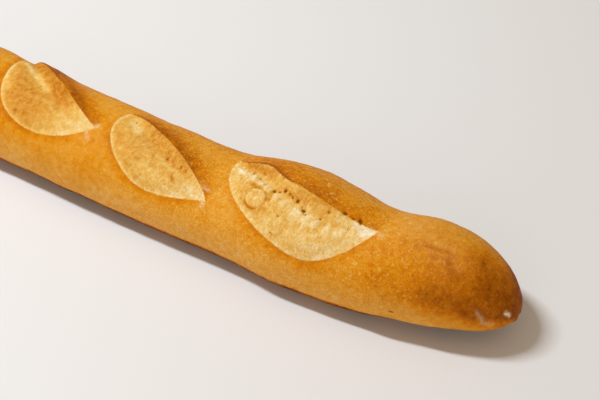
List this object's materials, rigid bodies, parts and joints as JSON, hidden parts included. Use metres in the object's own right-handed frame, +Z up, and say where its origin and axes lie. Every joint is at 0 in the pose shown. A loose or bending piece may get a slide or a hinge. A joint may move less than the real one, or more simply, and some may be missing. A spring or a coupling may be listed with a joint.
{
  "type": "baguette",
  "caption": "Long crusty loaf with rounded ends and a flat base; slanted cuts along its crest have opened, each with a lifted lip of crust behind paler crumb.",
  "frame": {"origin": "middle of the loaf's box, on the plane it rests on", "axes": "+X along the loaf to the end that bends slightly back, +Z up, -Y the side towards which the cuts open"},
  "size_m": [0.57, 0.073, 0.0527],
  "materials": {
    "crust": "baked golden crust, satin"
  },
  "bodies": {
    "root": {"loaf": "crust"}
  },
  "joints": []
}
